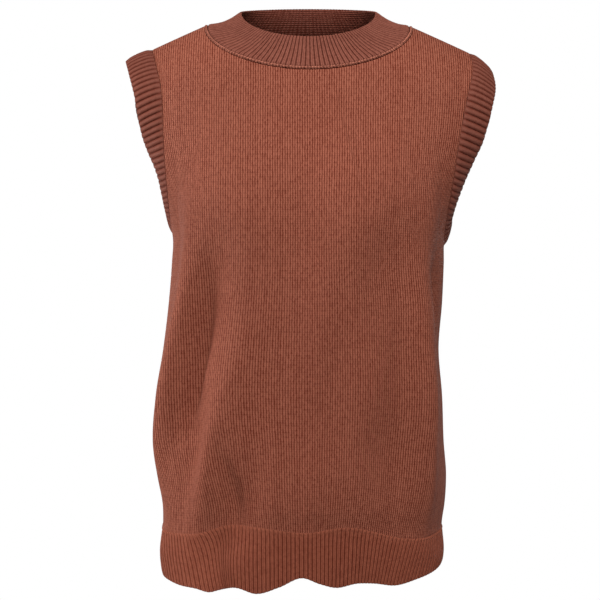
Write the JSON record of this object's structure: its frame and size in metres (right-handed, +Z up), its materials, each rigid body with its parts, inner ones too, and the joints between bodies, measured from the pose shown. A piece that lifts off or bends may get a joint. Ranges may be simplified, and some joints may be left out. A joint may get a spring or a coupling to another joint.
{
  "type": "sweater vest",
  "caption": "Sleeveless knitted crew-neck sweater vest worn open and hollow, with plain jersey body and rib bands at neck, armholes and hem",
  "frame": {"origin": "on the centre plane between the two high shoulder points, where the wearer's shoulders hold the vest", "axes": "+Z up, -Y towards the front of the vest, +X towards the wearer's left, which is the right of a front view"},
  "size_m": [0.3864, 0.2364, 0.602],
  "materials": {
    "jersey": "matt plain jersey knit, rust brown",
    "rib": "matt rib knit, rust brown"
  },
  "bodies": {
    "root": {"front_body": "jersey", "back_body": "jersey", "hem_band_front": "rib", "hem_band_back": "rib", "armhole_band_left": "rib", "armhole_band_right": "rib", "neck_seam_roll": "rib", "neckband": "rib"}
  },
  "joints": []
}
